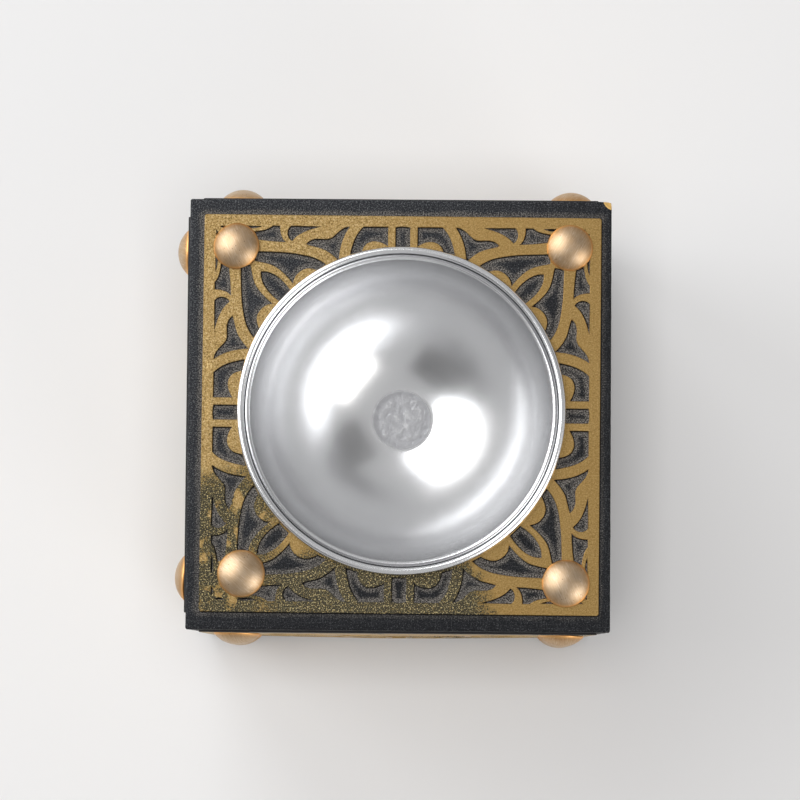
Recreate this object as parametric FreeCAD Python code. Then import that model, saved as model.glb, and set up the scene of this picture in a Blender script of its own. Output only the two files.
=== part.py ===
import FreeCAD, Part
import math
import os

os.makedirs("parts", exist_ok=True)

# A square wooden box that holds a votive candle. Pierced brass plates are nailed to its
# top, front, back and left side, and a spun metal bowl hangs by its rolled rim in a round
# hole in the top. Millimetres; origin in the middle of the underside, +X to the right,
# +Y to the back, +Z up.

# Box
WIDTH = 100.0
DEPTH = 102.0
HEIGHT = 100.0
BOARD = 10.0
EDGE_ROUND = 0.8

# Plates: a plain border, a band of openings, and a plain ring round the middle
PLATE = 94.0
PLATE_THICK = 0.5
PLATE_CORNER = 0.6
BORDER_INSIDE = 44.4
RING_OUTSIDE = 38.5
TOP_PLATE_AT = (0.35, 0.1)
TOP_PLATE_TURN = -0.2                    # degrees: the plate is not quite square to the box

# Bowl: half a ball with a small flat bottom and a rolled rim
BOWL_AT = (0.45, 0.95)
BOWL_INSIDE = 35.7
BOWL_WALL = 0.7
BOWL_FLAT = 7.2
LIP_ROUND = 0.65
BEAD_ROUND = 0.92
BOWL_CLEARANCE = 0.3
REST_GAP = 0.06

# Dome-headed nails
HEAD_RADIUS = 5.3
HEAD_HEIGHT = 2.8
HEAD_EDGE = 0.3
HEAD_WALL = 0.5
SHANK_RADIUS = 0.7
SHANK_LENGTH = 8.5
SHANK_POINT = 1.5
PILOT_CLEARANCE = 0.05

# The nails were driven by eye, so each face has its own four places (across, up)
NAILS = {
    "top": {"back_left": (-38.95, 39.7), "back_right": (40.05, 39.8),
            "front_right": (39.45, -39.5), "front_left": (-36.95, -37.8)},
    "front": {"upper_left": (-38.3, 39.0), "upper_right": (38.7, 39.0),
              "lower_right": (41.2, -39.3), "lower_left": (-41.0, -38.7)},
    "back": {"upper_left": (-40.6, 39.0), "upper_right": (37.8, 39.0),
             "lower_right": (38.9, -39.4), "lower_left": (-39.5, -38.9)},
    "left": {"upper_left": (-39.3, 39.0), "upper_right": (38.4, 39.0),
             "lower_right": (39.1, -38.8), "lower_left": (-38.6, -39.3)},
}

# Openings in one eighth of a plate, from its middle. Each opening is a list of sides, and
# a side is straight between two points and a smooth curve through more.
EIGHTH = {
    "arch": [
        [(39.8, 3.5), (44.4, 3.5)],
        [(44.4, 3.5), (44.4, 9.4)],
        [(44.4, 9.4), (42.3, 11.0), (37.3, 12.5), (35.0, 12.9)],
        [(35.0, 12.9), (36.0, 10.2)],
        [(36.0, 10.2), (38.0, 9.8), (40.0, 8.9), (40.9, 7.2), (40.8, 5.6), (39.8, 3.5)],
    ],
    "fish_tail": [
        [(40.1, 22.9), (41.4, 20.0), (41.5, 17.3), (43.0, 15.4), (44.4, 12.5)],
        [(44.4, 12.5), (42.0, 13.9), (39.0, 14.8), (36.2, 15.1)],
        [(36.2, 15.1), (37.8, 16.9), (39.0, 19.0), (39.6, 21.3), (40.1, 22.9)],
    ],
    "thorn": [
        [(40.8, 26.2), (42.0, 27.2), (43.5, 27.2), (44.4, 26.5)],
        [(44.4, 26.5), (44.35, 19.3)],
        [(44.35, 19.3), (43.4, 22.4), (42.3, 24.6), (40.8, 26.2)],
    ],
    "wedge": [
        [(40.5, 27.6), (41.5, 28.5), (43.0, 29.0), (44.4, 29.1)],
        [(44.4, 29.1), (44.4, 30.9)],
        [(44.4, 30.9), (43.6, 32.2), (43.2, 33.7), (42.9, 35.5)],
        [(42.9, 35.5), (42.0, 34.95), (41.1, 34.6)],
        [(41.1, 34.6), (40.7, 31.0), (40.5, 27.6)],
    ],
    "horn": [
        [(36.0, 35.0), (37.2, 34.9), (38.3, 34.4)],
        [(38.3, 34.4), (38.2, 31.0), (38.0, 27.0), (37.6, 24.0), (36.9, 21.0),
         (35.6, 18.5), (34.2, 16.9)],
        [(34.2, 16.9), (33.1, 18.6)],
        [(33.1, 18.6), (33.9, 20.2), (34.3, 22.6), (33.5, 24.3), (32.0, 25.5), (30.6, 25.8)],
        [(30.6, 25.8), (33.4, 28.4), (34.9, 30.6), (35.6, 33.0), (36.0, 35.0)],
    ],
    "long_slit": [
        [(44.3, 33.3), (43.75, 35.4), (44.0, 38.0)],
        [(44.0, 38.0), (44.3, 38.0)],
        [(44.3, 38.0), (44.3, 33.3)],
    ],
    "short_slit": [
        [(44.2, 41.0), (43.7, 42.4), (44.2, 43.3)],
        [(44.2, 43.3), (44.2, 41.0)],
    ],
}
KEYHOLE_HALF = 1.75                      # opening on each middle line
KEYHOLE_END = 44.3
LEAF = [(47.4, 0.0), (45.8, 1.27), (43.6, 1.98), (40.8, 2.05), (38.0, 1.6)]

# Rosette of the plates that have no bowl: radii from the middle
PETAL = (17.5, 26.0, 36.3, 7.0)          # inner tip, widest place, outer tip, half width
KITE_TIP = 26.5
KITE_WAIST = (31.0, 4.6)
KITE_SPREAD = math.radians(15.0)
STUD_HOLE = (21.0, 1.1)                  # radius of the circle of holes, radius of a hole
HUB_PETAL = (4.5, 9.0, 13.5, 2.5)
SPOKES = 8

PASS = 1.0                               # how far a cutting solid runs past a face
PLATE_TOP = HEIGHT + PLATE_THICK


def vector(x, y, z=0.0):
    return FreeCAD.Vector(x, y, z)


def save(shape, node):
    shape.exportStep(f"parts/{node}.step")


# ---------------------------------------------------------------- faces of the box
def on_face(across, up, outward, origin):
    """Placement that lays a face's own drawing (across, up, outward) on the box."""
    rows = [[a, u, o, at] for a, u, o, at in zip(across, up, outward, origin)]
    return FreeCAD.Placement(FreeCAD.Matrix(*rows[0], *rows[1], *rows[2]))


MIDDLE = HEIGHT / 2
FACES = {
    "top": (WIDTH, DEPTH, on_face((1, 0, 0), (0, 1, 0), (0, 0, 1), (0, 0, HEIGHT))),
    "bottom": (WIDTH, DEPTH, on_face((1, 0, 0), (0, -1, 0), (0, 0, -1), (0, 0, 0))),
    "front": (WIDTH, HEIGHT, on_face((1, 0, 0), (0, 0, 1), (0, -1, 0), (0, -DEPTH / 2, MIDDLE))),
    "back": (WIDTH, HEIGHT, on_face((-1, 0, 0), (0, 0, 1), (0, 1, 0), (0, DEPTH / 2, MIDDLE))),
    "left": (DEPTH, HEIGHT, on_face((0, -1, 0), (0, 0, 1), (-1, 0, 0), (-WIDTH / 2, 0, MIDDLE))),
    "right": (DEPTH, HEIGHT, on_face((0, 1, 0), (0, 0, 1), (1, 0, 0), (WIDTH / 2, 0, MIDDLE))),
}


def placed(shape, placement):
    return shape.transformed(placement.toMatrix(), True)


# ---------------------------------------------------------------- boards
def mitred_board(across, up):
    """A board mitred at 45 degrees on all four edges; its outside lies at z = 0."""
    corners = [(1, 1), (-1, 1), (-1, -1), (1, -1)]
    outer = [vector(sx * across / 2, sy * up / 2) for sx, sy in corners]
    inner = [vector(sx * (across / 2 - BOARD), sy * (up / 2 - BOARD), -BOARD)
             for sx, sy in corners]
    sides = [[outer[i], outer[i - 1], inner[i - 1], inner[i]] for i in range(4)]
    loops = [outer, inner] + sides
    faces = [Part.Face(Part.makePolygon(loop + loop[:1])) for loop in loops]
    return Part.makeSolid(Part.makeShell(faces))


def rounded_box():
    box = Part.makeBox(WIDTH, DEPTH, HEIGHT, vector(-WIDTH / 2, -DEPTH / 2))
    return box.makeFillet(EDGE_ROUND, box.Edges)


def pilot_holes(face):
    radius = SHANK_RADIUS + PILOT_CLEARANCE
    depth = SHANK_LENGTH - PLATE_THICK + PILOT_CLEARANCE
    return [Part.makeCylinder(radius, depth + PASS, vector(x, y, -depth))
            for x, y in NAILS.get(face, {}).values()]


def bowl_hole():
    radius = BOWL_INSIDE + BOWL_WALL + BOWL_CLEARANCE
    low = HEIGHT - BOARD - PASS
    return Part.makeCylinder(radius, PLATE_TOP + PASS - low, vector(*BOWL_AT, low))


def make_boards():
    box = rounded_box()
    for face, (across, up, placement) in FACES.items():
        board = placed(mitred_board(across, up), placement).common(box)
        cuts = [placed(hole, placement) for hole in pilot_holes(face)]
        if face == "top":
            cuts.append(bowl_hole())
        save(board.cut(cuts) if cuts else board, f"{face}_board")


# ---------------------------------------------------------------- plates
def edge_through(points):
    ends = [vector(*point) for point in points]
    if len(ends) == 2:
        return Part.makeLine(*ends)
    curve = Part.BSplineCurve()
    curve.interpolate(ends)
    return curve.toShape()


def cutter(sides):
    wire = Part.Wire([edge_through(points) for points in sides])
    solid = Part.Face(wire).extrude(vector(0, 0, PLATE_THICK + 2 * PASS))
    solid.translate(vector(0, 0, -PASS))
    return solid


def turned(sides, angle, flip=1):
    c, s = math.cos(angle), math.sin(angle)
    return [[(c * x - s * flip * y, s * x + c * flip * y) for x, y in points]
            for points in sides]


def drum(radius, x=0.0, y=0.0):
    return Part.makeCylinder(radius, PLATE_THICK + 2 * PASS, vector(x, y, -PASS))


def keyhole():
    bulge = BORDER_INSIDE + 0.1
    start = RING_OUTSIDE - PASS
    half = KEYHOLE_HALF
    return [[(start, half), (KEYHOLE_END, half)],
            [(KEYHOLE_END, half), (bulge, 0.0), (KEYHOLE_END, -half)],
            [(KEYHOLE_END, -half), (start, -half)],
            [(start, -half), (start, half)]]


def leaf():
    """Pointed leaf along a diagonal; LEAF holds the distance along it and half its width."""
    right = LEAF
    left = [(along, -half) for along, half in reversed(LEAF)]
    sides = [right, [right[-1], left[0]], left]
    return turned(sides, math.pi / 4)


def band_openings():
    """The openings between border and ring: eight of each, or four on a line of symmetry."""
    ring = drum(RING_OUTSIDE)
    cuts = []
    for quarter in range(4):
        angle = quarter * math.pi / 2
        for flip in (1, -1):
            cuts += [cutter(turned(sides, angle, flip)) for sides in EIGHTH.values()]
        cuts += [cutter(turned(sides, angle)) for sides in (keyhole(), leaf())]
    return [cut.cut(ring) for cut in cuts]


def pointed_oval(tip, widest, end, half):
    return [[(tip, 0), (widest, half), (end, 0)], [(end, 0), (widest, -half), (tip, 0)]]


def kite():
    rim = PETAL[2]
    corner = (rim * math.cos(KITE_SPREAD), rim * math.sin(KITE_SPREAD))
    low_corner = (corner[0], -corner[1])
    low_waist = (KITE_WAIST[0], -KITE_WAIST[1])
    return [[(KITE_TIP, 0), KITE_WAIST, corner], [corner, (rim, 0), low_corner],
            [low_corner, low_waist, (KITE_TIP, 0)]]


def rosette_openings():
    cuts = []
    for spoke in range(SPOKES):
        on_spoke = 2 * math.pi * spoke / SPOKES
        between = on_spoke + math.pi / SPOKES
        ring, radius = STUD_HOLE
        cuts += [cutter(turned(pointed_oval(*PETAL), between)),
                 cutter(turned(pointed_oval(*HUB_PETAL), between)),
                 cutter(turned(kite(), on_spoke)),
                 drum(radius, ring * math.cos(on_spoke), ring * math.sin(on_spoke))]
    return cuts


def blank():
    sheet = Part.makeBox(PLATE, PLATE, PLATE_THICK, vector(-PLATE / 2, -PLATE / 2))
    uprights = [edge for edge in sheet.Edges
                if abs(edge.Vertexes[0].Z - edge.Vertexes[1].Z) > PLATE_THICK / 2]
    return sheet.makeFillet(PLATE_CORNER, uprights)


def make_plates():
    banded = blank().cut(band_openings())
    middle = rosette_openings()
    as_laid = FreeCAD.Placement(vector(*TOP_PLATE_AT),
                                FreeCAD.Rotation(vector(0, 0, 1), TOP_PLATE_TURN))
    for face in NAILS:
        placement = FACES[face][2]
        plate = placed(banded, as_laid) if face == "top" else banded.cut(middle)
        holes = [drum(SHANK_RADIUS + PILOT_CLEARANCE, *place) for place in NAILS[face].values()]
        plate = placed(plate.cut(holes), placement)
        if face == "top":
            plate = plate.cut(bowl_hole())
        save(plate, f"{face}_plate")


# ---------------------------------------------------------------- nails
def arc(start, through, end):
    return Part.Arc(*(vector(r, 0, z) for r, z in (start, through, end))).toShape()


def line(start, end):
    return Part.makeLine(vector(start[0], 0, start[1]), vector(end[0], 0, end[1]))


def turned_solid(edges):
    return Part.Face(Part.Wire(edges)).revolve(vector(0, 0, 0), vector(0, 0, 1), 360)


def dome_point(radius, height, edge, at):
    """Height of a domed cap above its seat, at a distance from its middle."""
    rise = height - edge
    ball = (radius ** 2 + rise ** 2) / (2 * rise)
    return (at, height - ball + math.sqrt(ball ** 2 - at ** 2))


def nail():
    """Hollow dome head seated on z = 0 with a pointed shank below it."""
    outer = (HEAD_RADIUS, HEAD_HEIGHT, HEAD_EDGE)
    inner = (HEAD_RADIUS - HEAD_WALL, HEAD_HEIGHT - HEAD_WALL, HEAD_EDGE - HEAD_WALL / 4)
    under = dome_point(*inner, SHANK_RADIUS)
    brim = dome_point(*inner, inner[0])
    shank_end = SHANK_POINT - SHANK_LENGTH
    tip = (0, -SHANK_LENGTH)
    return turned_solid([
        arc((0, HEAD_HEIGHT), dome_point(*outer, HEAD_RADIUS / 2), (HEAD_RADIUS, HEAD_EDGE)),
        line((HEAD_RADIUS, HEAD_EDGE), (HEAD_RADIUS, 0)),
        line((HEAD_RADIUS, 0), (inner[0], 0)),
        line((inner[0], 0), brim),
        arc(brim, dome_point(*inner, inner[0] / 2), under),
        line(under, (SHANK_RADIUS, shank_end)),
        line((SHANK_RADIUS, shank_end), tip),
        line(tip, (0, HEAD_HEIGHT)),
    ])


def make_nails():
    shape = nail()
    for face, places in NAILS.items():
        placement = FACES[face][2]
        for corner, (x, y) in places.items():
            seated = shape.translated(vector(x, y, PLATE_THICK))
            save(placed(seated, placement), f"{face}_nail_{corner}")


# ---------------------------------------------------------------- bowl
def on_ball(radius, angle):
    return (radius * math.cos(angle), radius * math.sin(angle))


def make_bowl():
    """Profile from the middle of the inside, up and over the rim, and back underneath."""
    outside = BOWL_INSIDE + BOWL_WALL
    floor_angle = -math.acos(BOWL_FLAT / BOWL_INSIDE)
    floor = on_ball(BOWL_INSIDE, floor_angle)
    under_z = floor[1] - BOWL_WALL
    under_angle = math.asin(under_z / outside)
    under = on_ball(outside, under_angle)
    rim_z = BEAD_ROUND
    lip = BOWL_INSIDE + LIP_ROUND
    groove = (lip + LIP_ROUND, rim_z)
    bead = groove[0] + BEAD_ROUND
    slant = BEAD_ROUND * math.sqrt(0.5)
    bead_low = (bead - slant, rim_z - slant)
    neck = (outside, bead_low[1])
    profile = [
        line((0, floor[1]), floor),
        arc(floor, on_ball(BOWL_INSIDE, floor_angle / 2), (BOWL_INSIDE, 0)),
        line((BOWL_INSIDE, 0), (BOWL_INSIDE, rim_z)),
        arc((BOWL_INSIDE, rim_z), (lip, rim_z + LIP_ROUND), groove),
        arc(groove, (bead, rim_z + BEAD_ROUND), (bead + BEAD_ROUND, rim_z)),
        arc((bead + BEAD_ROUND, rim_z), (bead + slant, rim_z - slant), (bead, 0)),
        arc((bead, 0), on_bead(bead, rim_z, math.radians(-112.5)), bead_low),
        line(bead_low, neck),
        line(neck, (outside, 0)),
        arc((outside, 0), on_ball(outside, under_angle / 2), under),
        line(under, (0, under_z)),
        line((0, under_z), (0, floor[1])),
    ]
    bowl = turned_solid(profile)
    save(bowl.translated(vector(*BOWL_AT, PLATE_TOP + REST_GAP)), "bowl")


def on_bead(r, z, angle):
    return (r + BEAD_ROUND * math.cos(angle), z + BEAD_ROUND * math.sin(angle))


make_boards()
make_plates()
make_nails()
make_bowl()
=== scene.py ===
import math
import random

import bmesh
import bpy
import numpy as np
from mathutils import Matrix, Vector, geometry, kdtree, noise


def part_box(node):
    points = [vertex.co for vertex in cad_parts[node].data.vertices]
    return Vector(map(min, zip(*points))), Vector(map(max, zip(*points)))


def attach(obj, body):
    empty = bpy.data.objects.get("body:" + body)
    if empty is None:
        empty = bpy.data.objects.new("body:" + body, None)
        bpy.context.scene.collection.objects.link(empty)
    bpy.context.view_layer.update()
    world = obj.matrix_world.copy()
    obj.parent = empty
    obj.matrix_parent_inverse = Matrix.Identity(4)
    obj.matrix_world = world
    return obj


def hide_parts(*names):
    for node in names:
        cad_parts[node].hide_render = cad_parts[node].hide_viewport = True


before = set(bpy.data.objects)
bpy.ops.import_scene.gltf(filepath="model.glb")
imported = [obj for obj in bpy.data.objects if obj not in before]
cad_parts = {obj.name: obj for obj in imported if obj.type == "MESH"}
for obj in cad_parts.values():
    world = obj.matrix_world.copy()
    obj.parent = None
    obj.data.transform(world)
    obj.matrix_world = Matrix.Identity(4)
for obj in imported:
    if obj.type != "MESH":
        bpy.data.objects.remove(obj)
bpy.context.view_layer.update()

# A votive candle holder: a black painted wooden box, pierced brass plates nailed to four of
# its faces, and a spun aluminium bowl hanging in its top. Sizes are in millimetres up to the
# point where a mesh is made, and in metres in the scene.

MM = 0.001
BOX_BODY, BOWL_BODY = "box", "bowl"

# Each face of the box: its across, up and outward directions, seen from outside
FACES = {
    "top": ((1, 0, 0), (0, 1, 0), (0, 0, 1)),
    "front": ((1, 0, 0), (0, 0, 1), (0, -1, 0)),
    "back": ((-1, 0, 0), (0, 0, 1), (0, 1, 0)),
    "left": ((0, -1, 0), (0, 0, 1), (-1, 0, 0)),
    "right": ((0, 1, 0), (0, 0, 1), (1, 0, 0)),
}
PLATED = ("top", "front", "back", "left")

# Boards
EDGE_ROUND = 0.4
EDGE_BENDS = (0.0, 0.12, 0.25, 0.4, 0.6, 0.85, 1.15, 1.45)   # rows of points in from an edge
BOARD_STEP = {"top": 0.42, "front": 0.6, "back": 0.6, "left": 0.6, "right": 0.6}
COARSE_EVERY = 4                     # rows of points kept where nothing happens
HOLE_TURNS = 240
HOLE_CLEAR = 0.3                     # the hole is this much smaller than the groove in the rim
HOLE_KEEP_OUT = 0.6                  # no points so near the hole, in steps of the grid
WEAR_REACH = 1.7                     # how far in from an edge the wear goes
WEAR_DEPTH = 0.2
WEAR_LUMPS = ((0.16, 0.5), (0.7, 0.35), (2.2, 0.3))   # lumps to the millimetre, and their share
SPLINTER_LUMPS, SPLINTER_DEPTH = 3.1, 0.14
GOUGES = [                           # corners knocked off: corner, radius, depth
    ((1, 1, 1), 3.6, 1.45),
    ((1, -1, 1), 1.5, 0.8),
    ((-1, -1, 1), 1.6, 0.8),
]
BARE_GOUGE = GOUGES[0]               # the one that shows fresh wood

# Dust that has settled against the metal, and a painted shadow line along the metal's lower right edges
DUST_REACH = 2.1
DUST_MARGIN = 0.4                    # the fine grid of points goes this far past the dust
METAL_STEP = 0.5                     # points along a metal edge for finding the nearest one
SHADOW_SIDE_WAY = np.array([0.75, -0.66, 0.0])   # the painted shadow line lies on the lower right of a metal edge

# Plates
PLATE_STEP = 2.2
PLATE_BEVEL = 0.1
PLATE_KEEP_OUT = 0.4                 # no points so near the outlines, in steps of the grid
PLATE_BOW = {"top": 0.0, "front": 0.6, "back": 0.0, "left": 0.0}
PLATE_RIPPLE = {"top": 0.03, "front": 0.08, "back": 0.02, "left": 0.02}
NAIL_SPAN = 38.5                     # from the middle of a plate to its nails
BOWL_SEAT = 40.5                     # the top plate stays flat under the bowl's rim
SEAT_FADE = 4.0                      # the ripple grows back over this distance from the seat

# Nails
HEAD_RADIUS = 5.3
HEAD_HEIGHT = 2.8
HEAD_EDGE = 0.3
SHANK_RADIUS = 0.7
SHANK_LENGTH = 8.5
NAIL_TURNS = 64
NAIL_SEED = 7
NAIL_SINK = 0.03                     # how far a rim is pressed into its plate
NAIL_LEAN = math.radians(1.8)
NAIL_WIDTHS = (1.02, 1.06)           # times the common size, drawn for each nail
NAIL_HEIGHTS = (0.97, 1.08)

# Bowl
LIP_ROUND = 0.65                     # radius of the groove inside the rolled rim
BEAD_ROUND = 0.92                    # radius of the rolled rim's wire
BOWL_WALL = 0.7
BOWL_FLAT = 7.2                      # radius of the flat disc in its middle
BOWL_TURNS = 288
BOWL_WANDER = 0.05                   # how far the spun wall strays from round
BOWL_WAVES = 0.06                    # waves of the wall to the millimetre
WANDER_DEPTH = 8.0                   # the waves reach their full size this far below the rim

# Smallest distances that count, in millimetres
WELD_GAP, NO_GAP, SEAM_GAP = 0.001, 0.001, 0.002

# Angles past which a mesh has a sharp edge
BOARD_SHARP, PLATE_SHARP, NAIL_SHARP, BOWL_SHARP = 40, 28, 50, 50


# ------------------------------------------------------------------ where things are
def box_corners():
    """The low and high corners of the six boards together."""
    lows, highs = zip(*(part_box(f"{face}_board") for face in FACES))
    return np.min(lows, axis=0) / MM, np.max(highs, axis=0) / MM


BOX_LOW, BOX_HIGH = box_corners()
BOX_MIDDLE = (BOX_LOW + BOX_HIGH) / 2
BOX_HALF = (BOX_HIGH - BOX_LOW) / 2


def size_of(node):
    """A node's size in millimetres."""
    low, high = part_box(node)
    return np.array(high - low) / MM


def middle_of(node):
    """The middle of a node's box, in millimetres."""
    low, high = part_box(node)
    return np.array(high + low) / 2 / MM


BOARD = size_of("top_board")[2]
BOWL_MIDDLE = middle_of("bowl")
BOWL_RADIUS = size_of("bowl")[0] / 2
BOWL_SPRING = BOWL_MIDDLE[2] + size_of("bowl")[2] / 2 - 2 * BEAD_ROUND   # centre of its ball
GROOVE_RADIUS = BOWL_RADIUS - 2 * BEAD_ROUND
HOLE_RADIUS = GROOVE_RADIUS - HOLE_CLEAR


def axes(face):
    """Columns: the face's across, up and outward directions."""
    return np.array(FACES[face], float).T


def face_origin(face):
    """The middle of a face."""
    return BOX_MIDDLE + axes(face)[:, 2] * BOX_HALF


def face_half(face):
    """Half the width and half the height of a face."""
    return np.abs(BOX_HALF @ axes(face))[:2]


def from_face(points, face):
    """Across, up and outward to the scene's x, y, z, still in millimetres."""
    return np.asarray(points) @ axes(face).T + face_origin(face)


def to_face(points, face):
    """The scene's x, y, z in millimetres to across, up and outward."""
    return (np.asarray(points) - face_origin(face)) @ axes(face)


def outlines(node, face):
    """The outlines of a plate's outer surface, in order round each, with metal on the left."""
    bm = bmesh.new()
    bm.from_mesh(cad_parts[node].data)
    bmesh.ops.remove_doubles(bm, verts=bm.verts, dist=WELD_GAP * MM)
    outward = Vector(FACES[face][2])
    flat = [surface for surface in bm.faces if surface.normal.dot(outward) > 0.99]
    shown = set(flat)
    following = {}
    for surface in flat:
        for corner in surface.loops:
            if sum(other in shown for other in corner.edge.link_faces) == 1:
                following[corner.vert] = corner.link_loop_next.vert
    found = []
    while following:
        start, here = following.popitem()
        loop = [start.co[:]]
        while here is not start:
            loop.append(here.co[:])
            here = following.pop(here)
        found.append(to_face(np.array(loop) / MM, face)[:, :2])
    bm.free()
    return found


# ------------------------------------------------------------------ meshes
def near_tree(points):
    """A search tree over flat points."""
    tree = kdtree.KDTree(len(points))
    for number, point in enumerate(points):
        tree.insert((*point, 0), number)
    tree.balance()
    return tree


def gap(tree, x, y):
    """Distance from a place to the nearest point of the tree."""
    return tree.find((x, y, 0))[2]


def divided(loop, step):
    """The closed outline with no side longer than the step."""
    pieces = []
    for here, there in zip(loop, np.roll(loop, -1, axis=0)):
        count = max(1, math.ceil(np.linalg.norm(there - here) / step))
        pieces.append(here + (there - here) * (np.arange(count) / count)[:, None])
    return np.vstack(pieces)


def inset(loop, distance):
    """The outline moved into the material, less where its sides are too short for it."""
    ahead = np.roll(loop, -1, axis=0) - loop
    along = ahead / np.linalg.norm(ahead, axis=1)[:, None]
    left = np.column_stack([-along[:, 1], along[:, 0]])
    both = left + np.roll(left, 1, axis=0)
    way = 2 * both / np.maximum((both ** 2).sum(axis=1), 1.0)[:, None]
    reach = np.full(len(loop), float(distance))
    for _ in range(8):
        moved = loop + way * reach[:, None]
        turned = ((np.roll(moved, -1, axis=0) - moved) * along).sum(axis=1)
        folded = turned < 0.25 * np.linalg.norm(ahead, axis=1)
        reach[folded | np.roll(folded, 1)] *= 0.5
    return loop + way * reach[:, None]


def inside(loops, points):
    """Which points have material: a line from each crosses the outlines an odd number of times."""
    x, y = np.asarray(points, float).reshape(-1, 2).T
    odd = np.zeros(len(x), bool)
    for loop in loops:
        for (x1, y1), (x2, y2) in zip(loop, np.roll(loop, -1, axis=0)):
            if y1 != y2:
                odd ^= ((y1 > y) != (y2 > y)) & (x < x1 + (x2 - x1) * (y - y1) / (y2 - y1))
    return odd


def filled(loops, inner):
    """Triangles inside the outlines, numbered with the outline points first."""
    sides, start = [], 0
    for loop in loops:
        numbers = list(range(start, start + len(loop)))
        sides += zip(numbers, numbers[1:] + numbers[:1])
        start += len(loop)
    points = [Vector(point) for point in [*np.vstack(loops), *inner]]
    result = geometry.delaunay_2d_cdt(points, sides, [], 0, 1e-6, True)
    first = np.array([sources[0] for sources in result[3]])
    corners = np.array([tuple(place) for place in result[0]])
    faces = np.array(result[2])
    kept = faces[inside(loops, corners[faces].mean(axis=1))]
    return first[kept].tolist()


def closed_sheet(name, loops, inner, layers):
    """A closed solid on flat outlines. Each layer lays the outline points in space, in face
    millimetres, front first; the first also lays the inner points of the front."""
    rim = np.vstack(loops)
    size = len(rim)
    middle = layers[0](np.array(inner)) if len(inner) else np.empty((0, 3))
    places = [layer(rim) for layer in layers] + [middle]
    shift = (len(layers) - 1) * size
    faces = [[i if i < size else i + shift for i in face] for face in filled(loops, inner)]
    for layer in range(len(layers) - 1):
        start = layer * size
        for loop in loops:
            count = len(loop)
            for i in range(count):
                here, there = start + i, start + (i + 1) % count
                faces.append([here, here + size, there + size, there])
            start += count
    faces += [[i + shift for i in reversed(face)] for face in filled(loops, [])]
    mesh = bpy.data.meshes.new(name)
    mesh.from_pydata(np.vstack(places).tolist(), [], faces)
    return mesh


def read_points(mesh):
    """The mesh's points as rows of an array."""
    flat = np.empty(len(mesh.vertices) * 3, np.float64)
    mesh.vertices.foreach_get("co", flat)
    return flat.reshape(-1, 3)


def change_points(mesh, change):
    """Passes the mesh's points through a function, as an array."""
    mesh.vertices.foreach_set("co", change(read_points(mesh)).ravel())
    mesh.update()


def finish_mesh(mesh, sharp_degrees):
    """Normals outward, smooth shading, and sharp edges past an angle."""
    bm = bmesh.new()
    bm.from_mesh(mesh)
    bmesh.ops.recalc_face_normals(bm, faces=bm.faces)
    bm.to_mesh(mesh)
    bm.free()
    mesh.polygons.foreach_set("use_smooth", [True] * len(mesh.polygons))
    mesh.set_sharp_from_angle(angle=math.radians(sharp_degrees))


def new_object(name, mesh):
    """An object at the origin, in the scene."""
    piece = bpy.data.objects.new(name, mesh)
    bpy.context.scene.collection.objects.link(piece)
    return piece


def add_attribute(mesh, label, kind, values):
    """Stores a number or a vector on each point."""
    layer = mesh.attributes.new(label, kind, "POINT")
    layer.data.foreach_set("vector" if kind == "FLOAT_VECTOR" else "value", np.ravel(values))


def line_object(name, points, sides):
    """Bare points and edges for a tree to read."""
    mesh = bpy.data.meshes.new(name)
    mesh.from_pydata([tuple(point) for point in points], sides, [])
    return new_object(name, mesh)


def outline_object(name, loops, face):
    """Closed outlines laid on a face, as bare edges."""
    points, sides = [], []
    for loop in loops:
        start, count = len(points), len(loop)
        points += list(from_face(np.column_stack([loop, np.zeros(count)]), face) * MM)
        sides += [(start + i, start + (i + 1) % count) for i in range(count)]
    return line_object(name, points, sides)


# ------------------------------------------------------------------ node kit
def plug(place, term):
    """Links a Value to a socket, or sets the socket to a plain number, colour or name."""
    if isinstance(term, Value):
        place.id_data.links.new(term.socket, place)
    else:
        place.default_value = term


class Value:
    """A node's output. Arithmetic on it adds Math nodes to its tree."""

    def __init__(self, socket):
        self.socket = socket

    def math(self, operation, *terms):
        node = self.socket.id_data.nodes.new("ShaderNodeMath")
        node.operation = operation
        for place, term in zip(node.inputs, terms):
            plug(place, term)
        return Value(node.outputs[0])

    def __add__(self, other):
        return self.math("ADD", self, other)

    __radd__ = __add__

    def __sub__(self, other):
        return self.math("SUBTRACT", self, other)

    def __rsub__(self, other):
        return self.math("SUBTRACT", other, self)

    def __mul__(self, other):
        return self.math("MULTIPLY", self, other)

    __rmul__ = __mul__

    def __truediv__(self, other):
        return self.math("DIVIDE", self, other)

    def __mod__(self, other):
        return self.math("MODULO", self, other)

    def __abs__(self):
        return self.math("ABSOLUTE", self)

    def __pow__(self, other):
        return self.math("POWER", self, other)

    def most(self, other):
        return self.math("MAXIMUM", self, other)

    def least(self, other):
        return self.math("MINIMUM", self, other)


class Tree:
    """A node tree being built. Every node but Math comes from node()."""

    def node(self, kind, settings, sockets):
        """Adds a node: its settings first, then the values or links of its sockets."""
        made = self.tree.nodes.new(kind)
        for name, value in settings.items():
            setattr(made, name, value)
        places = {socket.name: socket for socket in reversed(made.inputs) if socket.enabled}
        for name, term in sockets.items():
            plug(made.inputs[name] if isinstance(name, int) else places[name], term)
        return {socket.name: Value(socket) for socket in made.outputs if socket.enabled}

    def vector(self, operation, first, second, result="Vector"):
        return self.node("ShaderNodeVectorMath", {"operation": operation}, {0: first, 1: second})[result]

    def parts(self, vector):
        """The x, y and z of a vector."""
        split = self.node("ShaderNodeSeparateXYZ", {}, {0: vector})
        return split["X"], split["Y"], split["Z"]

    def joined(self, x, y, z):
        return self.node("ShaderNodeCombineXYZ", {}, {"X": x, "Y": y, "Z": z})["Vector"]


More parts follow.
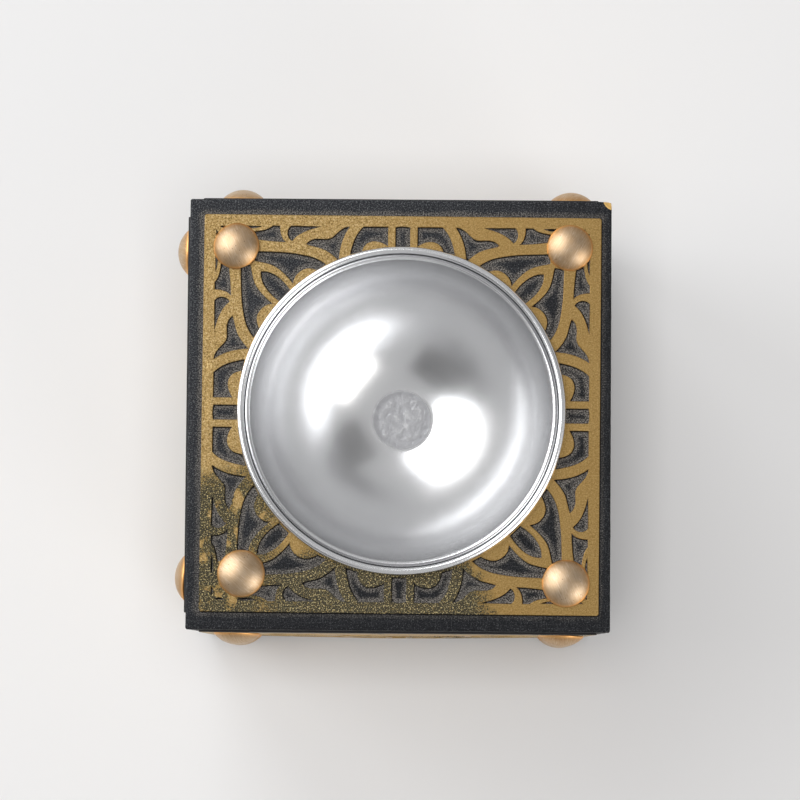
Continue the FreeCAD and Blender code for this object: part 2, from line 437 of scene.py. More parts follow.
class Finish(Tree):
    """A material."""

    def __init__(self, name):
        self.material = bpy.data.materials.new(name)
        self.material.use_nodes = True
        self.tree = self.material.node_tree
        self.tree.nodes.clear()

    def place(self):
        """Where a point is on the object, in millimetres."""
        return self.scaled(self.node("ShaderNodeTexCoord", {}, {})["Object"], 1 / MM)

    def scaled(self, vector, factor):
        return self.vector("MULTIPLY", vector, (factor, factor, factor))

    def cloud(self, vector, scale, detail=2.0, rough=0.5, warp=0.0):
        """Soft noise from 0 to 1, with so many lumps to the millimetre."""
        sockets = {"Vector": vector, "Scale": scale, "Detail": detail, "Roughness": rough,
                   "Distortion": warp}
        return self.node("ShaderNodeTexNoise", {}, sockets)["Fac"]

    def specks(self, vector, spacing, radius, share):
        """1 on round specks so far apart, kept in a share of the cells."""
        cell = self.node("ShaderNodeTexVoronoi", {}, {"Vector": vector, "Scale": 1 / spacing})
        kept = self.band(self.parts(cell["Color"])[0], 1 - share, 1 - share + 0.02)
        return self.band(cell["Distance"] * spacing, radius, radius * 0.5) * kept

    def band(self, value, low, high):
        """0 at low and 1 at high with a smooth step between; low may be the larger."""
        return self.node("ShaderNodeMapRange", {"interpolation_type": "SMOOTHSTEP"},
                         {"Value": value, "From Min": low, "From Max": high})["Result"]

    def mixed(self, share, first, second):
        """Colour from first to second by a share."""
        return self.node("ShaderNodeMix", {"data_type": "RGBA"},
                         {"Factor": share, "A": first, "B": second})["Result"]

    def attribute(self, name, result="Fac"):
        """A number or a vector stored on the mesh's points."""
        return self.node("ShaderNodeAttribute", {"attribute_name": name}, {})[result]

    def bump(self, height, depth):
        """Relief whose height of 1 is the depth, in millimetres."""
        sockets = {"Height": height, "Distance": depth * MM, "Strength": 1.0}
        return self.node("ShaderNodeBump", {}, sockets)["Normal"]

    def surface(self, **sockets):
        """Ends the material in one Principled shader; underscores stand for spaces."""
        named = {name.replace("_", " "): term for name, term in sockets.items()}
        shader = self.node("ShaderNodeBsdfPrincipled", {}, named)["BSDF"]
        self.node("ShaderNodeOutputMaterial", {}, {"Surface": shader})
        return self.material


class Recipe(Tree):
    """A Geometry Nodes tree with named inputs, run on a piece to leave a plain mesh."""

    def __init__(self, name, **inputs):
        self.tree = bpy.data.node_groups.new(name, "GeometryNodeTree")
        self.add_socket("Geometry", "INPUT", "NodeSocketGeometry")
        for label, kind in inputs.items():
            self.add_socket(label, "INPUT", f"NodeSocket{kind}")
        self.add_socket("Geometry", "OUTPUT", "NodeSocketGeometry")
        self.given = self.node("NodeGroupInput", {}, {})

    def add_socket(self, label, way, kind):
        self.tree.interface.new_socket(label, in_out=way, socket_type=kind)

    def mesh_of(self, label):
        """The mesh of the object given as an input."""
        return self.node("GeometryNodeObjectInfo", {}, {"Object": self.given[label]})["Geometry"]

    def position(self):
        return self.node("GeometryNodeInputPosition", {}, {})["Position"]

    def named(self, name, kind="FLOAT_VECTOR"):
        """What is stored on each point under a name."""
        return self.node("GeometryNodeInputNamedAttribute", {"data_type": kind},
                         {"Name": name})["Attribute"]

    def stored(self, shape, name, value, kind="FLOAT"):
        """The shape with a value stored on each of its points."""
        return self.node("GeometryNodeStoreNamedAttribute", {"data_type": kind, "domain": "POINT"},
                         {"Geometry": shape, "Name": name, "Value": value})["Geometry"]

    def end(self, shape):
        """Ends the tree in plain geometry with the given material."""
        real = self.node("GeometryNodeRealizeInstances", {}, {"Geometry": shape})["Geometry"]
        painted = self.node("GeometryNodeSetMaterial", {},
                            {"Geometry": real, "Material": self.given["material"]})["Geometry"]
        self.node("NodeGroupOutput", {}, {"Geometry": painted})

    def run(self, piece, **values):
        """Puts the tree's result in place of the piece's mesh."""
        modifier = piece.modifiers.new(self.tree.name, "NODES")
        modifier.node_group = self.tree
        for item in self.tree.interface.items_tree:
            if item.name in values:
                modifier[item.identifier] = values[item.name]
        ready = piece.evaluated_get(bpy.context.evaluated_depsgraph_get())
        mesh = bpy.data.meshes.new_from_object(ready)
        piece.modifiers.remove(modifier)
        piece.data = mesh
        return mesh


def dust_and_shadow_recipe():
    """Stores on each point how far it is from the metal's edge, in millimetres and negative under
    the metal, and how much it lies on the edge's lower right side, where shadow is painted."""
    r = Recipe("dust_and_shadow_marks", metal_edges="Object", material="Material")
    edges = r.mesh_of("metal_edges")
    nearest = r.node("GeometryNodeProximity", {"target_element": "EDGES"}, {0: edges})
    bare = r.named("bare", "FLOAT")
    lee_way = r.named("lee_way")
    out = r.vector("SUBTRACT", r.position(), nearest["Position"])
    along = r.vector("DOT_PRODUCT", out, lee_way, "Value")
    gap_mm = nearest["Distance"] / MM * bare
    lee = along / nearest["Distance"].most(NO_GAP * MM) * bare
    measured = r.stored(r.given["Geometry"], "metal_gap", gap_mm)
    r.end(r.stored(measured, "lee", lee))
    return r


def spinning_recipe():
    """Turns a profile, whose points run from the axis to the axis, into a closed shell."""
    r = Recipe("spun_shell", profile="Object", turns="Int", material="Material")
    profile = r.mesh_of("profile")
    count = r.node("GeometryNodeAttributeDomainSize", {"component": "MESH"}, {0: profile})["Point Count"]
    turns = r.given["turns"]
    grid = r.node("GeometryNodeMeshGrid", {}, {"Vertices X": turns + 1, "Vertices Y": count})["Mesh"]
    number = r.node("GeometryNodeInputIndex", {}, {})["Index"]
    row = number % count
    angle = (number - row) / count / turns * math.tau
    point = r.node("GeometryNodeSampleIndex", {"data_type": "FLOAT_VECTOR", "domain": "POINT"},
                   {"Geometry": profile, "Value": r.position(), "Index": row})["Value"]
    radius, _, height = r.parts(point)
    place = r.joined(radius * radius.math("COSINE", angle), radius * radius.math("SINE", angle), height)
    turned = r.node("GeometryNodeSetPosition", {}, {"Geometry": grid, "Position": place})["Geometry"]
    closed = r.node("GeometryNodeMergeByDistance", {}, {"Geometry": turned, "Distance": SEAM_GAP * MM})
    r.end(closed["Geometry"])
    return r


def nailing_recipe():
    """Sets one nail at each place, leaned and stretched as the place's attributes say."""
    r = Recipe("driven_nails", nail="Object", material="Material")
    nail = r.stored(r.mesh_of("nail"), "on_nail", r.position(), "FLOAT_VECTOR")
    driven = r.node("GeometryNodeInstanceOnPoints", {},
                    {"Points": r.given["Geometry"], "Instance": nail,
                     "Rotation": r.named("lean"), "Scale": r.named("size")})
    r.end(driven["Instances"])
    return r


# ------------------------------------------------------------------ finishes
def rgb(red, green, blue):
    return (red, green, blue, 1.0)


# Paint, its grain, what lies on it, and the wood under it
PAINT_DEEP = rgb(0.0020, 0.0024, 0.0034)
PAINT_THIN = rgb(0.0058, 0.0064, 0.0080)
PAINT_SHEEN = rgb(0.018, 0.020, 0.024)
GRAIN_LINE = rgb(0.026, 0.027, 0.030)
CROSS_LINE = rgb(0.038, 0.039, 0.042)
SALT_GREY = rgb(0.135, 0.138, 0.145)
FLECK_PALE = rgb(0.22, 0.215, 0.20)
DUST_DARK = rgb(0.016, 0.015, 0.015)
DUST_PALE = rgb(0.285, 0.265, 0.240)
PAINTED_SHADOW_BLACK = rgb(0.0025, 0.0025, 0.0028)
WOOD_BROWN = rgb(0.62, 0.33, 0.07)
WOOD_PALE = rgb(1.0, 0.70, 0.28)
# Sheet brass
BRASS_DEEP = rgb(0.455, 0.280, 0.090)
BRASS_PALE = rgb(0.545, 0.350, 0.128)
GRIT_PALE = rgb(0.66, 0.47, 0.20)
GRIT_DARK = rgb(0.25, 0.145, 0.045)
FADED = rgb(0.34, 0.235, 0.095)
FADED_PALE = rgb(0.72, 0.57, 0.32)
FADED_DARK = rgb(0.11, 0.075, 0.028)
DOT_PALE = rgb(0.70, 0.50, 0.22)
DOT_DARK = rgb(0.26, 0.15, 0.045)
WORN_GREEN = rgb(0.15, 0.118, 0.036)
WORN_BLACK = rgb(0.020, 0.020, 0.014)
WORN_BRIGHT = rgb(0.78, 0.64, 0.32)
SIDE_TOP_DARK = rgb(0.008, 0.008, 0.009)
# Nail heads
HEAD_BRASS = rgb(0.565, 0.435, 0.300)
HEAD_ORANGE = rgb(0.50, 0.285, 0.115)
BRUSH_PALE = rgb(0.78, 0.66, 0.52)
BRUSH_DARK = rgb(0.30, 0.17, 0.07)
RIM_PLATE_REFLECTION = rgb(0.92, 0.50, 0.18)
PIT_BROWN = rgb(0.18, 0.10, 0.05)
# Spun aluminium
BOWL_GREY = rgb(0.875, 0.88, 0.89)
BOWL_PALE = rgb(0.93, 0.93, 0.935)
DISC_GREY = rgb(0.62, 0.62, 0.64)
DISC_PALE = rgb(0.98, 0.98, 0.98)
DISC_DARK = rgb(0.46, 0.46, 0.48)
BRIGHT_METAL = rgb(1.0, 1.0, 1.0)
SLOPE_SHADE = rgb(0.44, 0.44, 0.46)
GROOVE_SHADE = rgb(0.20, 0.20, 0.21)
# Stage
CLOTH_GREY = rgb(0.23, 0.23, 0.232)
TABLE_GREY = rgb(0.80, 0.80, 0.80)
TABLE_PALE = rgb(0.82, 0.82, 0.822)


def black_paint():
    """Thin satin black over open-grained wood: salted with pale grains, paler towards the back left
    in a painted sheen of the window light, dusty in the openings of the plates with a painted
    shadow line along the metal's lower right edges, bare wood where a corner is broken off."""
    f = Finish("black_wood_paint")
    p = f.place()
    x, y, _ = f.parts(p)
    gap_mm, lee = f.attribute("metal_gap"), f.attribute("lee")
    plated = f.band(abs(gap_mm), 0.0, 0.002)
    mottle = f.cloud(p, 0.16, 4.0, 0.6)
    grain = f.cloud(f.vector("MULTIPLY", p, (0.12, 2.6, 2.6)), 1.0, 4.0, 0.7, 0.3)
    cross = f.cloud(f.vector("MULTIPLY", p, (3.2, 0.14, 0.14)), 1.0, 3.0, 0.6)
    fine = f.cloud(p, 3.1, 2.0, 0.95)
    # painted sheen of the window light: paler paint, more pale grains and more dust towards the back
    # left
    back_left_sheen = f.band(y - x + (mottle - 0.5) * 50.0, -35.0, 60.0)
    salt = f.band(fine + back_left_sheen * 0.03, 0.56, 0.64)
    fleck = f.specks(p, 2.0, 0.17, 0.35)
    base = f.mixed(mottle, PAINT_DEEP, PAINT_THIN)
    base = f.mixed(back_left_sheen * 0.45, base, PAINT_SHEEN)
    base = f.mixed(f.band(grain, 0.52, 0.66) * 0.5, base, GRAIN_LINE)
    base = f.mixed(f.band(cross, 0.55, 0.66) * 0.5, base, CROSS_LINE)
    base = f.mixed(salt * (0.50 + back_left_sheen * 0.3), base, SALT_GREY)
    base = f.mixed(fleck * 0.7, base, FLECK_PALE)
    near = 1 - gap_mm.most(0.0) / DUST_REACH
    film = f.band(near + (mottle - 0.5) * 1.0 + (fine - 0.5) * 0.9, 0.30, 0.80) * plated
    dust = f.mixed(f.band(fine, 0.44, 0.60), DUST_DARK, DUST_PALE)
    out = abs(x - BOX_MIDDLE[0]).most(abs(y - BOX_MIDDLE[1]))
    border = f.band(out, BOX_HALF[0] - 3.6, BOX_HALF[0] - 2.8)
    film = film * (1 - border * (0.75 - back_left_sheen * 0.45))
    base = f.mixed(film * 0.85, base, dust)
    # painted shadow: near-black along the lower right of the metal's edges, as if cast by the plate's
    # edge
    edge_shadow = f.band(gap_mm, 0.36, 0.16) * f.band(lee, -0.15, 0.35) * plated
    base = f.mixed(edge_shadow * 0.95, base, PAINTED_SHADOW_BLACK)
    off = f.vector("DISTANCE", p, tuple(gouge_centre(*BARE_GOUGE)), "Value")
    splinter = f.cloud(f.vector("MULTIPLY", p, (0.9, 5.0, 5.0)), 1.0, 4.0, 0.6)
    broken = BARE_GOUGE[1]
    raw = f.band(off + (splinter - 0.5) * 0.25, broken + 0.26, broken + 0.12)
    wood = f.mixed(splinter, WOOD_BROWN, WOOD_PALE)
    base = f.mixed(raw, base, wood)
    rough = 0.50 + mottle * 0.14 + film * 0.32 + raw * 0.3 + edge_shadow * 0.3
    relief = fine * 0.9 + grain * 0.6 + film * fine
    return f.surface(Base_Color=base, Roughness=rough, Specular_IOR_Level=0.18,
                     Normal=f.bump(relief, 0.035))


def pierced_brass():
    """Old sheet brass: ochre where handled, pale and grainy at the back left, and a mixture of
    green-black and bright grains along the front of the top plate."""
    f = Finish("pierced_brass")
    p = f.place()
    x, y, z = f.parts(p)
    broad = f.cloud(p, 0.05, 3.0, 0.5)
    patch = f.cloud(p, 0.22, 4.0, 0.6, 0.4)
    grit = f.cloud(p, 2.3, 3.0, 0.85)
    dots = f.cloud(f.vector("ADD", p, (31.0, 17.0, 5.0)), 2.9, 2.0, 0.85)
    on_top = f.band(z, BOX_HIGH[2] - 0.6, BOX_HIGH[2] - 0.2)
    sway = (broad - 0.5) * 16.0 + (patch - 0.5) * 12.0
    left = f.band(x - y * 0.45 + sway, 4.0, -38.0)
    front = (f.band(y + sway * 0.4, -30.0, -37.0) * f.band(x + sway, 24.0, 14.0)
             * f.band(x - sway * 0.5, -36.0, -28.0))
    front_left = f.band(x + sway * 0.4, -22.0, -38.0) * f.band(y + sway, -8.0, -20.0)
    side = f.band(patch + (broad - 0.5), 0.50, 0.70) * 0.45
    worn = front.most(front_left * f.band(patch, 0.36, 0.50)) * on_top + side * (1 - on_top)
    black = f.band(grit + worn * 0.20, 0.575, 0.625) * f.band(worn, 0.08, 0.4)
    base = f.mixed(broad, BRASS_DEEP, BRASS_PALE)
    base = f.mixed(f.band(grit, 0.53, 0.66) * 0.55, base, GRIT_PALE)
    base = f.mixed(f.band(grit, 0.47, 0.34) * 0.55, base, GRIT_DARK)
    base = f.mixed(left * 0.5, base, FADED)
    base = f.mixed(left * f.band(grit, 0.52, 0.62) * 0.8, base, FADED_PALE)
    base = f.mixed(left * f.band(grit, 0.47, 0.38) * 0.85, base, FADED_DARK)
    base = f.mixed(f.band(dots, 0.54, 0.64) * 0.60, base, DOT_PALE)
    base = f.mixed(f.band(dots, 0.46, 0.37) * 0.50, base, DOT_DARK)
    base = f.mixed(worn * 0.70, base, WORN_GREEN)
    base = f.mixed(black * 0.94, base, WORN_BLACK)
    bright = f.band(dots, 0.57, 0.63) * worn
    base = f.mixed(bright * 0.9, base, WORN_BRIGHT)
    # darker towards the top edge of each side plate: near-black and not metal along its top 3 to 4 mm
    dark_top_band = f.band(z, BOX_HIGH[2] - 3.9, BOX_HIGH[2] - 3.2) * (1 - on_top)
    base = f.mixed(dark_top_band, base, SIDE_TOP_DARK)
    rough = 0.37 + left * 0.10 + black * 0.25 + (dots - 0.5) * 0.2
    metal = (1 - black * 0.6) * (1 - dark_top_band)
    relief = grit * (0.4 + left * 0.9 + worn * 0.9) + dots * 0.4
    return f.surface(Base_Color=base, Roughness=rough, Metallic=metal, Normal=f.bump(relief, 0.03))


def nail_brass():
    """Lacquered brass domes: fine brushing, orange-brown on some nails, and a painted orange
    reflection of the brass plate towards and round the rim.
    """
    f = Finish("nail_brass")
    p = f.place()
    q = f.scaled(f.attribute("on_nail", "Vector"), 1 / MM)
    height = f.parts(q)[2]
    tint = f.attribute("tint")
    brush = f.cloud(f.vector("MULTIPLY", q, (0.35, 4.2, 1.2)), 1.0, 4.0, 0.75)
    smear = f.cloud(p, 0.35, 4.0, 0.6)
    pits = f.specks(p, 0.9, 0.16, 0.35)
    # painted reflection of the brass plate: the dome turns orange towards its rim
    low = f.band(height, 1.9, 0.1)
    orange = (tint * 0.45 + low * 0.75 + (smear - 0.5) * 0.7).most(0.0).least(1.0)
    base = f.mixed(orange, HEAD_BRASS, HEAD_ORANGE)
    base = f.mixed(f.band(brush, 0.52, 0.66) * 0.40, base, BRUSH_PALE)
    base = f.mixed(f.band(brush, 0.48, 0.36) * 0.28, base, BRUSH_DARK)
    # painted reflection of the brass plate: a bright orange ring at the rim
    base = f.mixed(f.band(height, 1.0, 0.2) * 0.8, base, RIM_PLATE_REFLECTION)
    base = f.mixed(pits * 0.6, base, PIT_BROWN)
    rough = 0.41 + (brush - 0.5) * 0.16 + smear * 0.1 + pits * 0.2
    relief = brush * 0.8 + smear * 0.5 - pits * 0.8
    return f.surface(Base_Color=base, Roughness=rough, Metallic=1.0, Normal=f.bump(relief, 0.022))


def spun_aluminium():
    """Satin metal with the faint rings that spinning leaves, small nicks, a grey disc in the
    middle with worn glints and a shaded edge, and painted shade in the groove inside the rim
    and on the slope beside it."""
    f = Finish("spun_aluminium")
    p = f.place()
    q = f.vector("SUBTRACT", p, (BOWL_MIDDLE[0], BOWL_MIDDLE[1], BOWL_SPRING))
    x, y, z = f.parts(q)
    radius = (x * x + y * y) ** 0.5
    rings = f.cloud(f.joined(radius, z, 0.0), 1.1, 3.0, 0.6)
    cloudy = f.cloud(p, 0.09, 3.0, 0.5)
    fine = f.cloud(p, 4.0, 3.0, 0.6)
    nicks = f.specks(p, 2.6, 0.17, 0.35)
    deep = f.band(z, -20.0, -30.0)
    disc = f.band(radius, BOWL_FLAT + 0.1, BOWL_FLAT - 0.5) * deep
    lip = f.band(abs(radius - BOWL_FLAT), 0.55, 0.0) * deep
    dimples = f.cloud(p, 0.62, 3.0, 0.6)
    shade = f.band(abs(radius - BOWL_FLAT + 0.7), 1.3, 0.1) * deep
    glint = f.band(radius, 3.4, 1.0) * f.band(dimples, 0.48, 0.58) * deep
    high = f.band(z, -1.5, 0.0)
    # painted shade: darker in the groove inside the rolled rim and on the slope beside it
    groove_shade = f.band(abs(radius - GROOVE_RADIUS), 0.24, 0.06) * high
    slope_shade = f.band(abs(radius - GROOVE_RADIUS + 0.48), 0.36, 0.16) * high
    base = f.mixed(cloudy, BOWL_GREY, BOWL_PALE)
    base = f.mixed(disc * 0.75, base, DISC_GREY)
    base = f.mixed(disc * f.band(dimples, 0.56, 0.70) * 0.5, base, DISC_PALE)
    base = f.mixed(disc * f.band(dimples, 0.49, 0.36) * 0.25, base, DISC_DARK)
    base = f.mixed(shade * 0.40, base, DISC_DARK)
    base = f.mixed(glint * 0.65, base, BRIGHT_METAL)
    base = f.mixed(nicks * 0.5, base, BRIGHT_METAL)
    base = f.mixed(slope_shade * 0.7, base, SLOPE_SHADE)
    base = f.mixed(groove_shade * 0.65, base, GROOVE_SHADE)
    rough = 0.235 + (rings - 0.5) * 0.05 + (cloudy - 0.5) * 0.06 + disc * 0.07
    relief = (rings * f.band(z, -1.5, -4.0) * 0.10 + fine * 0.05 + disc * dimples * 12.0
              + lip * 3.0 + nicks * 0.8)
    return f.surface(Base_Color=base, Roughness=rough, Metallic=1.0, Normal=f.bump(relief, 0.012))


def dark_cloth():
    """What hangs in the room and shows dark in the metal."""
    return Finish("dark_cloth").surface(Base_Color=CLOTH_GREY, Roughness=0.9)


def pale_table():
    """A plain matt white top."""
    f = Finish("pale_table")
    p = f.place()
    tone = f.cloud(p, 0.01, 3.0, 0.5)
    base = f.mixed(tone, TABLE_GREY, TABLE_PALE)
    return f.surface(Base_Color=base, Roughness=0.75 + tone * 0.1)


# ------------------------------------------------------------------ boards
def rounded(points, half):
    """Points of a flat face laid on the rounded box, whose edges bend down to 45 degrees."""
    flat = np.clip(points, EDGE_ROUND - half, half - EDGE_ROUND)
    lean = np.column_stack([points - flat, np.full(len(points), EDGE_ROUND)])
    lean *= EDGE_ROUND / np.linalg.norm(lean, axis=1)[:, None]
    return np.column_stack([flat, np.full(len(points), -EDGE_ROUND)]) + lean


def rows(half, step):
    """Places of the rows of points across a face: close together at its edges."""
    inner = half - EDGE_BENDS[-1]
    even = np.linspace(-inner, inner, round(2 * inner / step) + 1)
    ends = half - np.array(EDGE_BENDS[:-1])
    return np.concatenate([-ends, even, ends[::-1]])


def gouge_centre(corner, radius, depth):
    """Middle of the ball that knocks a piece out of a corner."""
    way = np.array(corner) / np.linalg.norm(corner)
    return BOX_MIDDLE + BOX_HALF * corner + way * (radius - depth)


def worn_edges(points):
    """Edges rubbed unevenly, and the gouges cut out of them; points in scene millimetres."""
    side = np.sign(points - BOX_MIDDLE)
    depth = BOX_HALF - np.abs(points - BOX_MIDDLE)
    close = np.clip(1 - depth / WEAR_REACH, 0, 1)
    order = np.sort(close, axis=1)
    at_edge = order[:, 1] ** 2
    result = points.copy()
    for i in np.nonzero(at_edge > 0)[0]:
        place = Vector(points[i])
        drift = sum(noise.noise(place * lumps) * share for lumps, share in WEAR_LUMPS)
        result[i] -= side[i] * close[i] * at_edge[i] * WEAR_DEPTH * max(0.0, 0.5 + drift)
    for corner, radius, cut in GOUGES:
        centre = gouge_centre(corner, radius, cut)
        away = result - centre
        distance = np.linalg.norm(away, axis=1)
        for i in np.nonzero(distance < radius + SPLINTER_DEPTH)[0]:
            rough = radius + SPLINTER_DEPTH * noise.noise(Vector(points[i]) * SPLINTER_LUMPS)
            if distance[i] < rough:
                result[i] = centre + away[i] * rough / distance[i]
    return result


def make_board(face, plate_loops, paint, dust_and_shadow):
    """A mitred board with a fine grid of points where it is worn, dusty or carries the painted
    shadow line, and in the top the hole for the bowl."""
    half = face_half(face)
    xs, ys = (rows(half[i], BOARD_STEP[face]) for i in range(2))
    border = [(x, -half[1]) for x in xs[:-1]] + [(half[0], y) for y in ys[:-1]]
    border += [(x, half[1]) for x in xs[:0:-1]] + [(-half[0], y) for y in ys[:0:-1]]
    loops = [np.array(border)]
    if face == "top":
        turn = np.arange(HOLE_TURNS) / HOLE_TURNS * -math.tau
        hole = np.column_stack([np.cos(turn), np.sin(turn)]) * HOLE_RADIUS
        loops.append(hole + to_face(BOWL_MIDDLE, face)[:2])
    metal = [divided(loop, METAL_STEP) for loop in plate_loops]
    metal_edge = near_tree(np.vstack(metal)) if metal else None
    hole_rim = near_tree(loops[1]) if face == "top" else None

    def wanted(i, j):
        """Whether a place of the grid gets a point."""
        x, y = xs[i], ys[j]
        if hole_rim and gap(hole_rim, x, y) < BOARD_STEP[face] * HOLE_KEEP_OUT:
            return False
        worn = min(half[0] - abs(x), half[1] - abs(y)) < WEAR_REACH
        even = i % COARSE_EVERY == 0 and j % COARSE_EVERY == 0
        return worn or even or (metal_edge and gap(metal_edge, x, y) < DUST_REACH + DUST_MARGIN)

    grid = np.array([(xs[i], ys[j]) for i in range(1, len(xs) - 1)
                     for j in range(1, len(ys) - 1) if wanted(i, j)])
    inner = grid[inside(loops, grid)]

    def behind(points):
        """The inner surface: the mitres take the box's edges in by the board's thickness."""
        at_edge = np.abs(points) >= half - 1e-6
        scale = (half - BOARD) / half
        straight = np.where(at_edge.any(axis=1)[:, None], points * scale, points)
        return np.column_stack([straight, np.full(len(points), -BOARD)])

    layers = [lambda points: rounded(points, half), behind]
    mesh = closed_sheet(f"{face}_board_wood", loops, inner, layers)
    change_points(mesh, lambda points: worn_edges(from_face(points, face)) * MM)
    piece = new_object(f"{face}_board_wood", mesh)
    if plate_loops:
        on_face = to_face(read_points(mesh) / MM, face)[:, :2]
        add_attribute(mesh, "bare", "FLOAT", np.where(inside(plate_loops, on_face), -1.0, 1.0))
        add_attribute(mesh, "lee_way", "FLOAT_VECTOR", np.tile(axes(face) @ SHADOW_SIDE_WAY, len(on_face)))
        guide = outline_object(f"{face}_metal_edges", plate_loops, face)
        dust_and_shadow.run(piece, metal_edges=guide, material=paint)
        bpy.data.objects.remove(guide)
        for label in ("bare", "lee_way"):
            piece.data.attributes.remove(piece.data.attributes[label])
    else:
        mesh.materials.append(paint)
    finish_mesh(piece.data, BOARD_SHARP)
    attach(piece, BOX_BODY)
    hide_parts(f"{face}_board")


# ------------------------------------------------------------------ plates
def bowed(along, out):
    """An edge's bow: greatest midway between two nails, and growing towards the edge."""
    return np.clip(np.cos(along * math.pi / 2), 0, 1) * np.clip(np.abs(out) - 0.2, 0, 1.1) ** 3


def rippled(points, lumps, seed):
    """Soft noise from -1 to 1 over a face, with so many lumps to the millimetre."""
    return np.array([noise.noise(Vector((x * lumps, y * lumps, seed))) for x, y in points])


def lift(points, face):
    """How far a hand-cut plate stands off its board: bowed between its nails, rippled."""
    across, up = points[:, 0] / NAIL_SPAN, points[:, 1] / NAIL_SPAN
    bow = bowed(across, up) + 0.5 * bowed(up, across)
    ripple = 0.5 + rippled(points, 0.09, len(face)) + 0.4 * rippled(points, 0.3, 9)
    total = PLATE_BOW[face] * bow + PLATE_RIPPLE[face] * np.clip(ripple, 0, 2)
    if face == "top":
        out = np.linalg.norm(points - to_face(BOWL_MIDDLE, face)[:2], axis=1)
        total *= np.clip((out - BOWL_SEAT) / SEAT_FADE, 0, 1)
    return total


def make_plate(face, loops, brass):
    """A pierced plate with bevelled edges, as its board and nails hold it."""
    thick = abs(size_of(f"{face}_plate") @ axes(face)[:, 2])
    narrow = np.vstack([inset(loop, PLATE_BEVEL) for loop in loops])
    rim = np.vstack(loops)
    low, high = rim.min(axis=0) + PLATE_STEP / 2, rim.max(axis=0) - PLATE_STEP / 2
    rim_tree = near_tree(rim)
    grid = np.array([(x, y) for x in np.arange(low[0], high[0], PLATE_STEP)
                     for y in np.arange(low[1], high[1], PLATE_STEP)
                     if gap(rim_tree, x, y) > PLATE_STEP * PLATE_KEEP_OUT])
    inner = grid[inside(loops, grid)]

    def layer(height, edge=rim):
        """Lays the outline points along the given edge, and the inner ones where they are."""
        def lay(points):
            there = edge if len(points) == len(rim) else points
            return np.column_stack([there, lift(points, face) + height])
        return lay

    layers = [layer(thick, narrow), layer(thick - PLATE_BEVEL), layer(0)]
    mesh = closed_sheet(f"{face}_plate_brass", loops, inner, layers)
    change_points(mesh, lambda points: from_face(points, face) * MM)
    mesh.materials.append(brass)
    finish_mesh(mesh, PLATE_SHARP)
    piece = new_object(f"{face}_plate_brass", mesh)
    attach(piece, BOX_BODY)
    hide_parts(f"{face}_plate")


# ------------------------------------------------------------------ nails
def nail_profile():
    """Dome, rim, hollow underneath and shank, from the top of the axis to its bottom."""
    rise = HEAD_HEIGHT - HEAD_EDGE
    ball = (HEAD_RADIUS ** 2 + rise ** 2) / (2 * rise)
    widest = math.asin(HEAD_RADIUS / ball)
    dome = [(ball * math.sin(a), ball * math.cos(a) - ball + HEAD_HEIGHT)
            for a in np.linspace(0, widest, 22)]
    rim = [(HEAD_RADIUS + 0.02, HEAD_EDGE * 0.5), (HEAD_RADIUS - 0.04, 0.04), (HEAD_RADIUS - 0.3, 0.0)]
    under = [(HEAD_RADIUS - 0.6, 0.25), (3.6, 1.1), (SHANK_RADIUS, 1.6)]
    shank = [(SHANK_RADIUS, 1.5 - SHANK_LENGTH), (0.0, -SHANK_LENGTH)]
    return dome + rim + under + shank


def profile_object(name, profile):
    """A profile's points, out from the axis and up, joined in their order."""
    points = [(r * MM, 0.0, z * MM) for r, z in profile]
    return line_object(name, points, [(i, i + 1) for i in range(len(points) - 1)])


def make_nails(spinning, nailing, brass):
    """All the nails, each driven by hand: a little off upright and not quite the same size."""
    outline = profile_object("nail_profile", nail_profile())
    one = new_object("one_nail", bpy.data.meshes.new("one_nail"))
    spinning.run(one, profile=outline, turns=NAIL_TURNS, material=brass)
    draw = random.Random(NAIL_SEED)
    nodes = sorted(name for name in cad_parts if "_nail_" in name)
    places, leans, sizes, tints = [], [], [], []
    for node in nodes:
        face = node.split("_nail_")[0]
        across, up, _ = to_face(middle_of(node), face)
        thick = size_of(f"{face}_plate") @ np.abs(axes(face)[:, 2])
        lifted = lift(np.array([[across, up]]), face)[0]
        places.append(from_face([across, up, thick + lifted - NAIL_SINK], face) * MM)
        stand = Matrix(axes(face).tolist())
        nod = Matrix.Rotation(draw.gauss(0, NAIL_LEAN), 3, "X")
        sway = Matrix.Rotation(draw.gauss(0, NAIL_LEAN), 3, "Y")
        spin = Matrix.Rotation(draw.uniform(0, math.tau), 3, "Z")
        leans.append(tuple((stand @ (nod @ sway) @ spin).to_euler()))
        wide, tall = draw.uniform(*NAIL_WIDTHS), draw.uniform(*NAIL_HEIGHTS)
        sizes.append((wide, wide, tall))
        tints.append(draw.uniform(0.0, 1.0))
    piece = line_object("dome_nails", places, [])
    add_attribute(piece.data, "lean", "FLOAT_VECTOR", leans)
    add_attribute(piece.data, "size", "FLOAT_VECTOR", sizes)
    add_attribute(piece.data, "tint", "FLOAT", tints)
    nailing.run(piece, nail=one, material=brass)
    bpy.data.objects.remove(one)
    bpy.data.objects.remove(outline)
    finish_mesh(piece.data, NAIL_SHARP)
    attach(piece, BOX_BODY)
    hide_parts(*nodes)


# ------------------------------------------------------------------ bowl
def arc(centre, radius, start, end, count):
    """Points of an arc in the profile's plane, by angles in degrees."""
    angles = np.radians(np.linspace(start, end, count))
    return [(centre[0] + radius * math.cos(a), centre[1] + radius * math.sin(a)) for a in angles]


